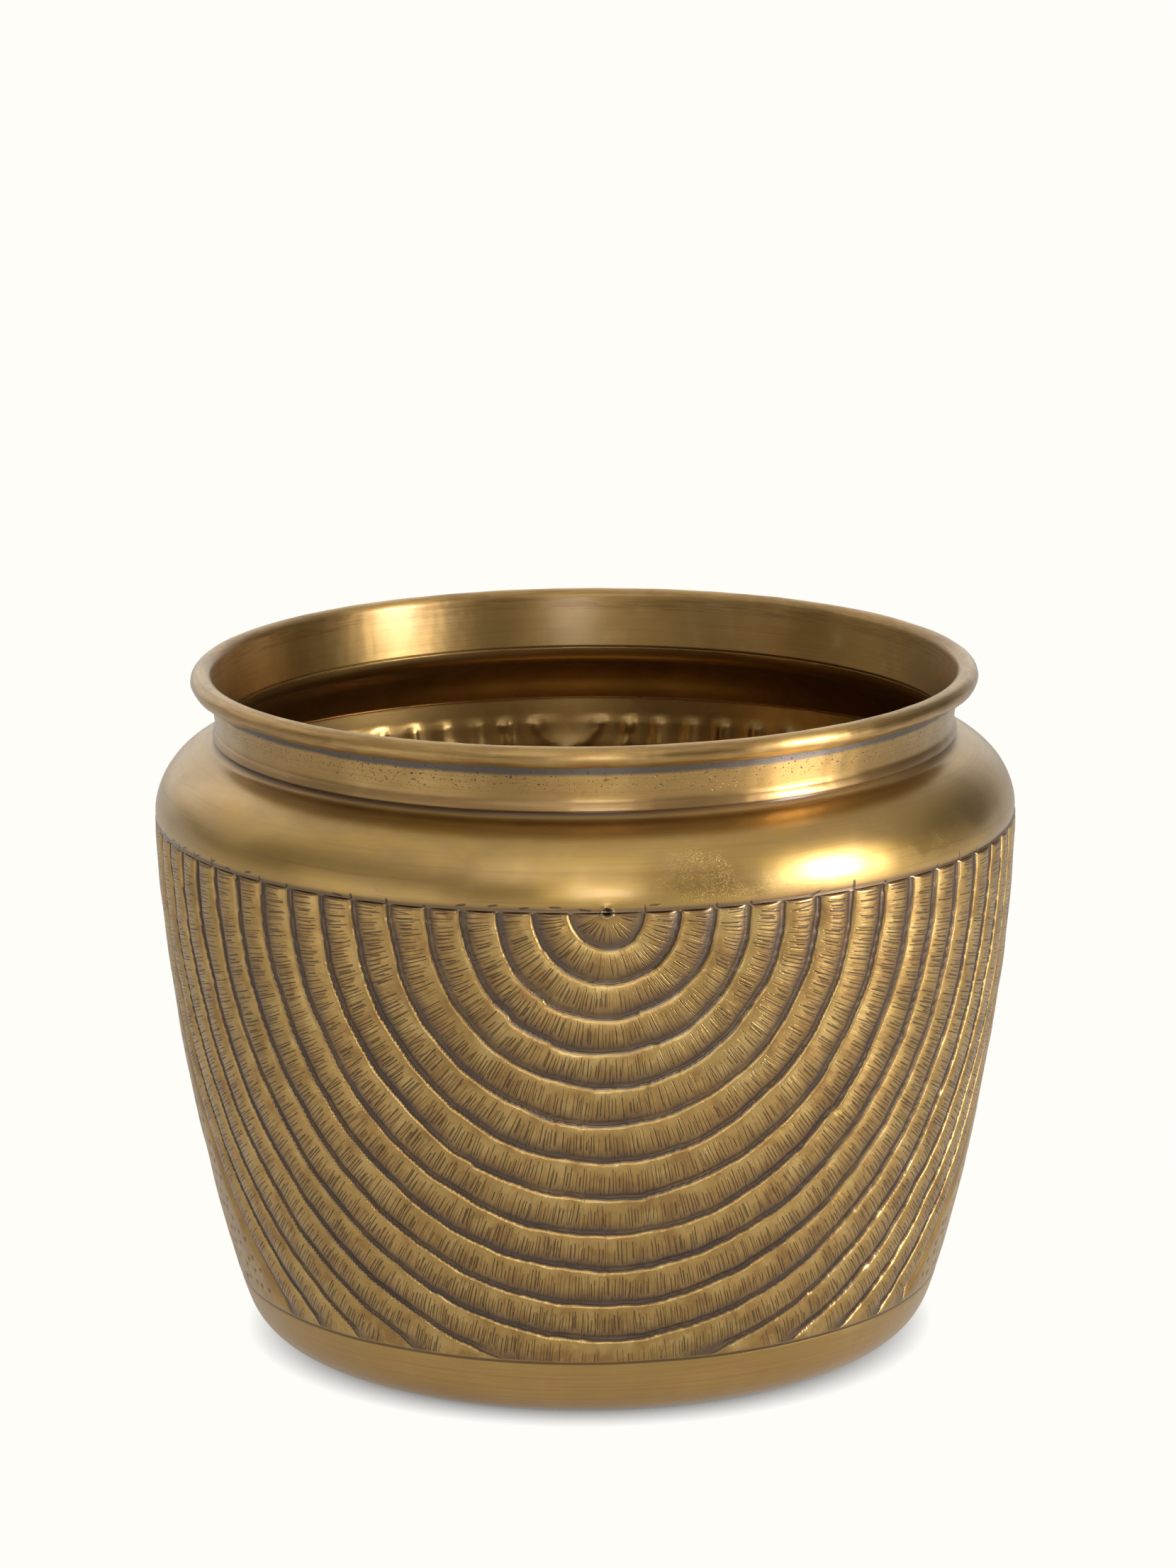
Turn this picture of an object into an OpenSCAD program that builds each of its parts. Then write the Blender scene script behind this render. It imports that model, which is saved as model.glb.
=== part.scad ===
// Brass planter pot: a spun bowl with an embossed wall, a spun shoulder that laps over it,
// and a collar whose rim is rolled over a wire. The laps are brazed.
// Millimetres. +Z is up, and the origin is on the pot's axis, on the face it rests on.

/* [Overall] */
// Diameter over the widest part, where the bowl meets the shoulder
belly_d = 305; // [302:1:312]
// Height of the shoulder's lower edge above the resting face
belly_z = 188.6; // [184:0.2:193]
// Height of the whole pot
pot_h = 241.3; // [239:0.1:248]
// Thickness of the brass sheet
sheet_t = 1.2; // [0.8:0.1:1.3]
// Thickness of the braze in the lap joints
braze_t = 0.3; // [0.2:0.05:0.4]

/* [Bowl] */
// Diameter of the flat face that the pot rests on
base_d = 203.6; // [196:0.2:208]
// Radius of the rounded corner between that face and the wall
base_corner_r = 22.5; // [18:0.5:26]
// Lean of the wall from vertical where it leaves the corner, in degrees
foot_lean = 20; // [16:0.5:22]
// Lean of the wall from vertical just under the belly joint, in degrees
wall_top_lean = 2; // [1:0.5:4]
// How far the bowl's top edge goes up inside the shoulder
lap_h = 8; // [6:0.5:10]

/* [Shoulder] */
// Radius of the shoulder's outer bend
shoulder_bend_r = 26; // [25:0.5:27]
// Height of that bend's centre above the shoulder's lower edge
shoulder_bend_rise = 1; // [0.5:0.1:2]
// Radius of the hollow where the shoulder turns up into the collar
neck_hollow_r = 4; // [3:0.5:5]

/* [Collar] */
// Inside diameter of the collar
mouth_d = 258; // [256:0.5:260]
// Height of the collar's swaged lower edge, which sits over the shoulder's upstand
swage_h = 2.2; // [2:0.1:3]
// Outside diameter of the rolled rim
rim_d = 278; // [277:0.5:280]
// Diameter of the wire inside the rolled rim
wire_d = 5.3; // [4.8:0.1:5.4]

/* [Hidden] */
$fn = 180;

brass = [0.66, 0.51, 0.27];
dark_brass = [0.55, 0.42, 0.22];
rim_brass = [0.70, 0.56, 0.30];
steel = [0.58, 0.58, 0.58];
braze_metal = [0.62, 0.40, 0.26];

// Bowl. The corner is an arc that the wall leaves at foot_lean. The two pulls are how
// strongly the wall's curve leaves its ends. The lip steps in over joggle_h, to clear the
// shoulder's sheet and the braze.
base_r = base_d / 2;
wall_foot_pull = 32;
wall_top_pull = 60;
wall_top_drop = 6;
joggle_h = 4.5;
joggle_inset = sheet_t + braze_t;
belly_r = belly_d / 2;
wall_top = [belly_r, belly_z - wall_top_drop];
corner_centre = [base_r, base_corner_r];

// Shoulder. Its bend starts just under the height of its centre, and the hollow above it
// is tangent to both the bend and the upstand.
upstand_r = mouth_d / 2 + sheet_t;
bend_centre = [belly_r - shoulder_bend_r, belly_z + shoulder_bend_rise];
bend_start = -asin(shoulder_bend_rise / shoulder_bend_r);
lap_end = asin((lap_h - shoulder_bend_rise) / shoulder_bend_r);
centres_apart = shoulder_bend_r + neck_hollow_r;
bend_end = acos((upstand_r + neck_hollow_r - bend_centre.x) / centres_apart);
hollow_centre = bend_centre + centres_apart * [cos(bend_end), sin(bend_end)];

// Collar. The swaged edge starts just under the top of the hollow, and the neck above it
// stands straight before it flares into the roll.
mouth_r = mouth_d / 2;
swage_r = upstand_r + braze_t;
swage_z = hollow_centre.y - 0.7;
swage_top = swage_z + swage_h;
upstand_top = swage_top - 0.2;
swage_step_h = 2.8;
neck_z = swage_top + swage_step_h;
neck_straight_h = 3;
flare_pull = 6;
wire_play = 0.08;
roll_r = wire_d / 2 + wire_play + sheet_t;
roll_centre = [rim_d / 2 - roll_r, pot_h - roll_r];
roll_start = 150;
roll_end = -148;

// ---------- curves ----------

function bezier(p0, p1, p2, p3, n) =
    [for (i = [0:n]) let (t = i / n, u = 1 - t)
        u * u * u * p0 + 3 * u * u * t * p1 + 3 * u * t * t * p2 + t * t * t * p3];

function arc(centre, r, from, to, n) =
    [for (i = [0:n]) let (a = from + (to - from) * i / n)
        centre + r * [cos(a), sin(a)]];

// A step outward and upward, for a direction that leans from vertical.
function leaning(degrees, reach) = reach * [sin(degrees), cos(degrees)];

function rest(points) = [for (i = [1:len(points) - 1]) points[i]];

function backwards(points) = [for (i = [len(points) - 1:-1:0]) points[i]];

// Direction of a path at point i, from its neighbours.
function heading(path, i) =
    let (a = path[max(i - 1, 0)], b = path[min(i + 1, len(path) - 1)])
        (b - a) / norm(b - a);

// The path moved sideways: to its left for a positive distance.
function beside(path, distance) =
    [for (i = [0:len(path) - 1]) let (d = heading(path, i))
        path[i] + distance * [-d.y, d.x]];

// Closed outline of a sheet with one face on the path and the other beside it.
function sheet_outline(path, thickness) =
    concat(path, backwards(beside(path, thickness)));

// ---------- paths of the sheets, in radius and height ----------

function base_corner() =
    arc(corner_centre, base_corner_r, -90, -foot_lean, 14);

function wall_curve() =
    let (foot = corner_centre + base_corner_r * [cos(foot_lean), -sin(foot_lean)])
        bezier(foot, foot + leaning(foot_lean, wall_foot_pull),
               wall_top - leaning(wall_top_lean, wall_top_pull), wall_top, 28);

// The lip follows the inside of the shoulder's bend.
function lip_curve() =
    arc(bend_centre, shoulder_bend_r - joggle_inset, bend_start, lap_end, 6);

function joggle_curve() =
    let (to = lip_curve()[0], half = joggle_h / 2)
        bezier(wall_top, wall_top + [0, half], to - [0, half], to, 6);

function bowl_path() =
    concat([[0, 0]], base_corner(), rest(wall_curve()),
           rest(joggle_curve()), rest(lip_curve()));

function shoulder_path() =
    concat(arc(bend_centre, shoulder_bend_r, bend_start, bend_end, 24),
           rest(arc(hollow_centre, neck_hollow_r, 180 + bend_end, 180, 8)),
           [[upstand_r, upstand_top]]);

function swage_step() =
    let (half = swage_step_h / 2)
        bezier([swage_r, swage_top], [swage_r, swage_top + half],
               [mouth_r, neck_z - half], [mouth_r, neck_z], 8);

function roll_curve() =
    arc(roll_centre, roll_r, roll_start, roll_end, 32);

function flare_curve() =
    let (from = [mouth_r, neck_z + neck_straight_h], to = roll_curve()[0])
        bezier(from, from + [0, flare_pull],
               to - flare_pull * [sin(roll_start), -cos(roll_start)], to, 10);

// The collar's path is its inner face, which turns outward over the wire.
function collar_path() =
    concat([[swage_r, swage_z]], swage_step(), flare_curve(), rest(roll_curve()));

// ---------- parts ----------

module bowl() {
    color(brass)
        rotate_extrude()
            polygon(sheet_outline(bowl_path(), sheet_t));
}

module shoulder() {
    color(dark_brass)
        rotate_extrude()
            polygon(sheet_outline(shoulder_path(), sheet_t));
}

module neck_band() {
    color(rim_brass)
        rotate_extrude()
            polygon(sheet_outline(collar_path(), -sheet_t));
}

module rim_wire() {
    color(steel)
        rotate_extrude()
            translate(roll_centre)
                circle(d = wire_d, $fn = 48);
}

// Braze between the bowl's lip and the shoulder.
module belly_braze() {
    color(braze_metal)
        rotate_extrude()
            polygon(sheet_outline(lip_curve(), -braze_t));
}

// Braze between the shoulder's upstand and the collar's swaged edge.
module neck_braze() {
    color(braze_metal)
        rotate_extrude()
            translate([upstand_r, hollow_centre.y])
                square([braze_t, upstand_top - hollow_centre.y]);
}

bowl();
shoulder();
neck_band();
rim_wire();
belly_braze();
neck_braze();
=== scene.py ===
import math

import bpy
import numpy as np
from mathutils import Matrix, Vector

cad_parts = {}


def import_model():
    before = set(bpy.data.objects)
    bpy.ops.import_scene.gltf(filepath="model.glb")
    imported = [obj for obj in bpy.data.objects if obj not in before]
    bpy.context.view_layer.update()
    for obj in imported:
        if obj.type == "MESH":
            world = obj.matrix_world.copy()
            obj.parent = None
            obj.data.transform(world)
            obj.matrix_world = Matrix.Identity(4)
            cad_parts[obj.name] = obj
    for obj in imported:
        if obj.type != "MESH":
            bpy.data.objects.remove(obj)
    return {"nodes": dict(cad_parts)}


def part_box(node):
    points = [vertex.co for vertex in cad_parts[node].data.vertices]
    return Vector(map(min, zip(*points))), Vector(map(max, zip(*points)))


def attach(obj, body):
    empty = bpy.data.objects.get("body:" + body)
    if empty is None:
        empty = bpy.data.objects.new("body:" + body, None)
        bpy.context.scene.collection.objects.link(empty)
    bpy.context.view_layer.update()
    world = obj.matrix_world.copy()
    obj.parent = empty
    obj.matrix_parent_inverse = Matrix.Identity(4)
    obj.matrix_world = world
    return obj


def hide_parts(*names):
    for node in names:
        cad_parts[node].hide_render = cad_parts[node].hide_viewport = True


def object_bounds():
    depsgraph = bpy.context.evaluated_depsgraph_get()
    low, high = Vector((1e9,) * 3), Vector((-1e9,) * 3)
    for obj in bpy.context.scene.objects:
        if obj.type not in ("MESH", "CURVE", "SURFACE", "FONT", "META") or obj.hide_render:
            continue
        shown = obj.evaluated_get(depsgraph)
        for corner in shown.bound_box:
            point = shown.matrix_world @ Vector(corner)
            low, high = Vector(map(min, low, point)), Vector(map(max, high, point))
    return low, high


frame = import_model()
cad_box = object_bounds()

# A brass planter pot. Azimuths turn from the front (-Y) towards +X. Lengths are in metres, except in
# the mesh attributes and the materials, which count millimetres. Each sheet's skin is turned from the
# CAD's own outline, and all relief goes inward from it.
MM = 0.001

# ---- Sizes read from the frame ----
BELLY_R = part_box("shoulder")[1].x
BELLY_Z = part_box("shoulder")[0].z
COLLAR_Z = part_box("neck_band")[0].z
TOP_Z = cad_box[1].z
RIM_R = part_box("neck_band")[1].x
WIRE_LOW, WIRE_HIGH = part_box("rim_wire")
ROLL_Z = (WIRE_LOW.z + WIRE_HIGH.z) / 2
ROLL_LOW_Z = 2 * ROLL_Z - TOP_Z
UPSTAND_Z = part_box("shoulder")[1].z

# ---- The embossed pattern: two fans of round grooves, at the front and at the back ----
FAN_GROOVES = 17
NARROW_BANDS = 5
NARROW_BAND = 12.46 * MM
WIDE_BAND = 13.8 * MM
BAND_GROWTH = WIDE_BAND - NARROW_BAND
BOTTOM_LINE = 168 * MM     # from the belly line down the wall to the line that ends the pattern
ARCH = 0.92 * MM           # how far a band curves down towards its grooves
CREST = 0.4                # where a band is highest, from its inner groove to its outer one
GROOVE = 0.95 * MM         # how far a groove goes below that
GROOVE_INNER_W = 2.6 * MM  # the groove's slopes, on the side of the fan's centre and away from it
GROOVE_OUTER_W = 2.2 * MM
FIRST_GROOVE = 0.55        # how deep the innermost groove is, as a share of the others
DEPTH_CHANGE = 0.16        # how much a groove's depth varies along it, and over what length
DEPTH_WAVE = 23 * MM
LINE_DEPTH = 0.3 * MM      # the line at the bottom, and its half width
LINE_HALF = 0.9 * MM
PATTERN_FADE = (0.3 * MM, 5.5 * MM)  # above that line, where the relief comes up to full depth
EASE = 1.1 * MM            # how widely the kink where two bands meet is rounded
WOBBLE = ((67 * MM, 0.28 * MM), (37 * MM, 0.2 * MM), (19 * MM, 0.13 * MM), (10 * MM, 0.08 * MM))
KINKS = 3                  # places per groove where the chisel was set down a little off the line
CREASE_DEPTH = 0.9 * MM    # the crease under the shoulder's edge
CREASE_H = 1.3 * MM
TUCK = 0.55 * MM           # how far the shoulder's outer skin turns in at its lower edge
TUCK_H = 5.5 * MM
INNER_SWELL = 3.2 * MM     # how much the wall swells inward, inside, below the lap
SWELL_DROP = 18 * MM       # from the lip down to there
SWELL_FADE = 48 * MM       # and on down to where the swelling has gone
DOT_GAP = 7.0 * MM         # punch dots between the fans, from DOTS_FROM down
DOTS_FROM = 40 * MM
DOT_R = 1.15 * MM
DOT_DEPTH = 0.45 * MM
PUNCH_DEPTH = 0.9 * MM     # the punch mark at a fan's centre: its pit, and the ring raised round it
PUNCH_R = 1.0 * MM
PUNCH_LIP = 0.3 * MM
PUNCH_LIP_R = 2.1 * MM
PUNCH_LIP_W = 0.8 * MM
INNER_SHARE = 0.4          # the relief on the inner skin is at least this share of the outer one's,
INNER_LOSS = 0.45 * MM     # or this much shallower
LAP_FILL = 1.9 * MM        # the step that the collar's inner face fills over the upstand
SWAGE_SOFT = 0.8 * MM      # how much flatter than a sharp bead the collar's lower edge is
CONE_REACH = 0.3 * MM      # how far outside the neck's cone its inner face may start
BASE_R = 100 * MM          # the wall is outside this radius and the base is inside it
BASE_DOWN = 300 * MM       # stands for "down the wall" on the base, beyond all of the pattern
# Dents, each as (depth, wavelength, seed)
HAMMERED = (0.08 * MM, 14 * MM, 1)
WALL_DENT = (0.12 * MM, 48 * MM, 2)
SHOULDER_DENTS = (0.10 * MM, 70 * MM, 3), (0.03 * MM, 22 * MM, 4)
COLLAR_DENTS = (0.05 * MM, 26 * MM, 5), (0.03 * MM, 11 * MM, 6)
ROLL_DENTS = (0.22 * MM, 30 * MM, 7), (0.08 * MM, 9 * MM, 8)
ROLL_SHORT = 0.044 * MM    # how much further in the roll's underside is, all round
SEED = 11

# ---- Mesh density ----
COLUMNS = 1024             # quads round the embossed wall
WALL_STEP = 0.95 * MM      # between rings: on that wall, at its fine lines and elsewhere
LINE_STEP = 0.45 * MM
SMOOTH_STEP = 2.2 * MM
BASE_STEP = 6 * MM
FINE_STEP = 0.1 * MM       # between points of the curve that the rings are taken from
MAX_TURN = 0.3             # radians between neighbouring rings of a bend

rng = np.random.default_rng(SEED)


# ---- Outlines ----
def read(items, field, width, kind=float):
    """A field of a mesh's items, as one row of numbers for each."""
    values = np.empty(len(items) * width, kind)
    items.foreach_get(field, values)
    return values.reshape(-1, width)


def section(node):
    """A revolved CAD node's outline on its +X half, as (radius, height) corners, anticlockwise. One that
    meets the axis starts and ends there."""
    mesh = frame["nodes"][node].data
    spots = read(mesh.vertices, "co", 3)
    ends = read(mesh.edges, "vertices", 2, int)
    flat = (np.abs(spots[:, 1]) < 1e-6) & (spots[:, 0] > -1e-6)
    links = {}
    for a, b in ends[flat[ends].all(axis=1)]:
        a, b = ((round(float(spots[i, 0]), 6), round(float(spots[i, 2]), 6)) for i in (a, b))
        if a != b:
            links.setdefault(a, set()).add(b)
            links.setdefault(b, set()).add(a)
    loose = [spot for spot in links if len(links[spot]) == 1]
    here = min(loose or links, key=lambda spot: (spot[1], spot[0]))
    chain, left = [here], {here}
    while True:
        onward = [spot for spot in links[here] if spot not in left]
        if not onward:
            break
        here = onward[0]
        chain.append(here)
        left.add(here)
    if loose:
        chain = [(0.0, chain[0][1])] + chain + [(0.0, chain[-1][1])]
    chain = np.array(chain)
    r, z = chain.T
    area = np.sum(r * np.roll(z, -1) - z * np.roll(r, -1))
    return chain if area > 0 else chain[::-1]


def rounded(points, closed, radius):
    """The outline with its sharp corners rounded. radius(corner) gives each corner's radius."""
    out = []
    count = len(points)
    for i, corner in enumerate(points):
        if not closed and i in (0, count - 1):
            out.append(corner)
            continue
        back = points[i - 1] - corner
        ahead = points[(i + 1) % count] - corner
        back_l, ahead_l = np.linalg.norm(back), np.linalg.norm(ahead)
        turn = math.acos(np.clip(-back @ ahead / back_l / ahead_l, -1, 1))
        if turn < math.radians(35):
            out.append(corner)
            continue
        cut = min(radius(corner) * math.tan(turn / 2), 0.48 * back_l, 0.48 * ahead_l)
        start, end = corner + back / back_l * cut, corner + ahead / ahead_l * cut
        for t in np.linspace(0, 1, 7):
            out.append((1 - t) ** 2 * start + 2 * t * (1 - t) * corner + t ** 2 * end)
    return np.array(out)


def steadied(points, closed):
    """The outline with knots added near the ends of its long stretches, which keep those straight."""
    out = []
    count = len(points)
    for i in range(count if closed else count - 1):
        here, there = points[i], points[(i + 1) % count]
        size = np.linalg.norm(there - here)
        out.append(here)
        if size > 4 * FINE_STEP:
            near = min(0.3, 0.5 * MM / size)
            out.extend([here + (there - here) * near, there - (there - here) * near])
    return np.array(out if closed else out + [points[-1]])


def smooth_curve(points, closed):
    """A smooth curve through the points, every FINE_STEP or closer. A closed one repeats its start."""
    loop = np.vstack([points[-1:], points, points[:2]]) if closed else points
    chord = np.diff(loop, axis=0)
    length = np.linalg.norm(chord, axis=1, keepdims=True)
    slope = chord / length
    lean = (slope[:-1] * length[1:] + slope[1:] * length[:-1]) / (length[1:] + length[:-1])
    if closed:
        knots, lengths = loop[1:-1], length[1:-1]
    else:
        lean = np.vstack([slope[:1], lean, slope[-1:]])
        knots, lengths = loop, length
    pieces = []
    for i, size in enumerate(lengths[:, 0]):
        t = np.linspace(0, 1, max(2, math.ceil(size / FINE_STEP) + 1))[:-1, None]
        pieces.append(
            (1 + 2 * t) * (1 - t) ** 2 * knots[i]
            + t ** 2 * (3 - 2 * t) * knots[i + 1]
            + t * (1 - t) ** 2 * size * lean[i]
            - t ** 2 * (1 - t) * size * lean[i + 1]
        )
    return np.vstack(pieces + [knots[-1:]])


def turned(outline, closed, radius):
    """The smooth curve that a piece is turned from."""
    return smooth_curve(steadied(rounded(outline, closed, radius), closed), closed)


def travelled(curve):
    """Distance along a curve to each of its points."""
    return np.concatenate([[0], np.cumsum(np.linalg.norm(np.diff(curve, axis=0), axis=1))])


def facing(curve):
    """Outward normals of an anticlockwise curve."""
    run = np.gradient(curve, axis=0)
    run /= np.maximum(np.linalg.norm(run, axis=1, keepdims=True), 1e-12)
    return np.column_stack([run[:, 1], -run[:, 0]])


def pairs_at(where, marks, pairs):
    """Pairs of numbers interpolated between marks."""
    return np.column_stack([np.interp(where, marks, pairs[:, i]) for i in (0, 1)])


def spaced(curve, closed, step):
    """Rings along the curve, step(points) apart or closer in bends: their points and normals."""
    along = travelled(curve)
    normal = facing(curve)
    bend = np.abs(np.gradient(np.unwrap(np.arctan2(normal[:, 1], normal[:, 0])), along))
    bend = np.convolve(bend, np.ones(5) / 5, mode="same")
    gap = np.minimum(step(curve), MAX_TURN / np.maximum(bend, 1e-3))
    count = np.concatenate([[0], np.cumsum(np.diff(along) / ((gap[1:] + gap[:-1]) / 2))])
    marks = np.interp(np.linspace(0, count[-1], round(count[-1]) + 1), count, along)
    marks = marks[:-1] if closed else marks
    normals = pairs_at(marks, along, normal)
    normals /= np.linalg.norm(normals, axis=1, keepdims=True)
    return pairs_at(marks, along, curve), normals


def smoothstep(value, low, high):
    t = np.clip((value - low) / (high - low), 0, 1)
    return t * t * (3 - 2 * t)


def ripple(spots, wavelength, seed, waves=14):
    """Smooth noise of about -1 to 1 at points in space, from plane waves in seeded directions."""
    draw = np.random.default_rng(SEED + seed)
    ways = draw.normal(size=(waves, 3))
    ways *= 2 * math.pi / wavelength / np.linalg.norm(ways, axis=1, keepdims=True)
    ways *= draw.uniform(0.6, 1.4, (waves, 1))
    phases = draw.uniform(0, 2 * math.pi, waves)
    total = np.zeros(len(spots))
    for way, phase in zip(ways, phases):
        total += np.sin(spots @ way + phase)
    return total / math.sqrt(waves)


def dents(spots, *kinds):
    """Depth of the dents at points in space."""
    return sum(depth * (1 + ripple(spots, wavelength, seed)) for depth, wavelength, seed in kinds)


def around(azimuth, radius, height):
    """Points in space at an azimuth, a radius and a height."""
    return np.column_stack([radius * np.sin(azimuth), -radius * np.cos(azimuth), height])


# ---- Lathe ----
def levels(wanted, closed):
    """How often each ring halves its columns, with neighbours at most one halving apart."""
    level = list(wanted)
    count = len(level)
    for order in (range(count), reversed(range(count))) * 2:
        order = list(order)
        for here, there in zip(order, order[1:] + (order[:1] if closed else [])):
            level[there] = min(level[there], level[here] + 1)
    return level


def bridge(a, count_a, b, count_b):
    """Faces between ring a and the next ring b, whose column counts are equal or differ by two times.
    Either may be a single point."""
    single = 1 in (count_a, count_b)
    columns = max(count_a, count_b) if single else min(count_a, count_b)
    j = np.arange(columns)
    k = (j + 1) % columns
    even, odd, last = 2 * j, 2 * j + 1, (2 * j + 2) % (2 * columns)
    if count_a == count_b:
        faces = [(a + j, a + k, b + k, b + j)]
    elif single:
        faces = [(a + j, a + k, b + 0 * j) if count_b == 1 else (a + 0 * j, b + k, b + j)]
    elif count_a > count_b:
        faces = [(a + even, a + odd, b + j), (a + odd, b + k, b + j), (a + odd, a + last, b + k)]
    else:
        faces = [(a + j, b + odd, b + even), (a + j, a + k, b + odd), (a + k, b + last, b + odd)]
    return [np.column_stack(corners) for corners in faces]


def lathe(name, curve, closed, step, halvings, shape, inside):
    """A solid turned from an outline. shape(azimuth, points, normals) moves the points of the skin, and
    inside(points, normals) says which rings take the piece's second material."""
    points, normals = spaced(curve, closed, step)
    level = levels(halvings(points, normals), closed)
    counts = [COLUMNS >> n for n in level]
    if not closed:
        counts[0] = counts[-1] = 1
    starts = np.concatenate([[0], np.cumsum(counts)])
    azimuth = np.concatenate([np.arange(n) * 2 * math.pi / n for n in counts])
    ring = np.repeat(np.arange(len(counts)), counts)
    spots = shape(azimuth, points[ring], normals[ring])
    co = around(azimuth, spots[:, 0], spots[:, 1])
    second = inside(points, normals)
    faces, slots = [], []
    for i in range(len(counts) if closed else len(counts) - 1):
        j = (i + 1) % len(counts)
        for block in bridge(starts[i], counts[i], starts[j], counts[j]):
            faces.extend(block.tolist())
            slots.extend([int(second[i] and second[j])] * len(block))
    mesh = bpy.data.meshes.new(name)
    mesh.from_pydata(co.tolist(), [], faces)
    mesh.polygons.foreach_set("material_index", slots)
    mesh.polygons.foreach_set("use_smooth", [True] * len(faces))
    mesh.update()
    piece = bpy.data.objects.new(name, mesh)
    bpy.context.scene.collection.objects.link(piece)
    return piece, azimuth, points[ring], normals[ring]


def record(piece, name, values, domain="POINT", kind="FLOAT"):
    """Stores values on the piece's mesh for its materials."""
    made = piece.data.attributes.new(name, kind, domain)
    made.data.foreach_set("vector" if kind == "FLOAT_VECTOR" else "value", values.ravel())


# ---- The fans ----
def groove_radius(k):
    """Radius of a fan's groove k, counted from 1. The inner bands are narrower."""
    return NARROW_BAND * k + BAND_GROWTH * max(k - NARROW_BANDS, 0)


GROOVE_PHASES = rng.uniform(0, 2 * math.pi, (2, FAN_GROOVES + 1, len(WOBBLE)))
KINK_ANGLES = rng.uniform(-1.4, 1.4, (2, FAN_GROOVES + 1, KINKS))
KINK_SIZES = rng.uniform(-0.55 * MM, 0.55 * MM, (2, FAN_GROOVES + 1, KINKS))


def groove_line(fan, k, angle):
    """Radius of groove k at an angle from the fan's downward line, with its hand-cut wander."""
    base = groove_radius(k)
    line = np.full_like(angle, base)
    for (wavelength, height), phase in zip(WOBBLE, GROOVE_PHASES[fan, k]):
        line += height * np.sin(2 * math.pi * base * angle / wavelength + phase)
    for place, size in zip(KINK_ANGLES[fan, k], KINK_SIZES[fan, k]):
        past = base * (angle - place)
        line += size * np.tanh(past / (0.7 * MM)) * np.exp(-np.abs(past) / (6 * MM))
    return line


def fan_field(fan, x, y):
    """Band count from the fan's centre, and the depth of its bands and grooves, at wall points."""
    reach, angle = np.hypot(x, y), np.arctan2(x, y)
    ring = np.zeros_like(reach)
    depth = np.zeros_like(reach)
    before = np.zeros_like(reach)
    for k in range(1, FAN_GROOVES + 1):
        line = groove_line(fan, k, angle)
        share = (reach - before) / (line - before)
        inside = (share >= 0) & (share < 1)
        ring = np.where(inside, k - 1 + share, ring)
        arch = np.where(share > CREST, (share - CREST) / (1 - CREST), (CREST - share) / CREST) ** 2
        depth = np.where(inside, ARCH * (arch if k > 1 else share ** 2), depth)
        off = reach - line
        width = np.where(off < 0, GROOVE_INNER_W, GROOVE_OUTER_W)
        kink = ARCH * (1 / (1 - CREST) + 1 / CREST) / (line - before)
        depth -= kink * EASE * np.exp(-np.abs(off) / EASE)
        wave = np.sin(GROOVE_PHASES[fan, k, 0] + groove_radius(k) * angle / DEPTH_WAVE)
        strength = GROOVE * (FIRST_GROOVE if k == 1 else 1) * (1 + DEPTH_CHANGE * wave)
        depth += strength * np.exp(-(off / width) ** 2)
        before = line
    past = reach - before
    outside = past >= 0
    ring = np.where(outside, FAN_GROOVES + np.minimum(past / WIDE_BAND, 0.5), ring)
    depth = np.where(outside, depth + ARCH * np.exp(-past / (3 * MM)), depth)
    return ring, depth


def fans_field(fan, x, y):
    """The same for points of both fans."""
    out = np.zeros((2, len(x)))
    for which in (0, 1):
        mine = fan == which
        out[:, mine] = fan_field(which, x[mine], y[mine])
    return out


def half_turn(angle):
    """The same angle, between minus and plus half a turn."""
    return (angle + math.pi) % (2 * math.pi) - math.pi


def fan_place(azimuth, centre_azimuth):
    """Which fan a centre azimuth belongs to, and the distance along the belly from that fan's middle."""
    back = np.cos(centre_azimuth) < -1e-9
    return back, BELLY_R * half_turn(azimuth - math.pi * back)


def punch_dots():
    """Places (distance from the side's middle, distance down) of the dots in a side's spandrel."""
    half = BELLY_R * math.pi / 2
    outer = groove_radius(FAN_GROOVES) + 5 * MM
    places = []
    for row, down in enumerate(np.arange(DOTS_FROM, BOTTOM_LINE - 4 * MM, DOT_GAP * 0.87)):
        for across in np.arange(-80 * MM, 80 * MM, DOT_GAP) + row % 2 * DOT_GAP / 2:
            spot = np.array([across, down]) + rng.normal(0, 0.9 * MM, 2)
            if math.hypot(half - abs(spot[0]), spot[1]) > outer:
                places.append(spot)
    return np.array(places)


DOTS = [punch_dots(), punch_dots()]


def dot_field(azimuth, y):
    """How strongly the punch dots press, 0 to 1, at wall points."""
    press = np.zeros_like(y)
    for side, dots in zip((1, -1), DOTS):
        across = BELLY_R * half_turn(azimuth - side * math.pi / 2)
        reach = DOTS_FROM - 10 * MM, BOTTOM_LINE + 2 * MM
        near = np.where((np.abs(across) < 90 * MM) & (y > reach[0]) & (y < reach[1]))[0]
        for x0, y0 in dots:
            far = (across[near] - x0) ** 2 + (y[near] - y0) ** 2
            press[near] = np.maximum(press[near], np.exp(-far / DOT_R ** 2))
    return press


def punch_field(x, y):
    """The centre punch at a fan's middle: a pit inside a raised ring."""
    far = np.hypot(x, y)
    lip = PUNCH_LIP * np.exp(-((far - PUNCH_LIP_R) / PUNCH_LIP_W) ** 2)
    return PUNCH_DEPTH * np.exp(-(far / PUNCH_R) ** 2) - lip


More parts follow.
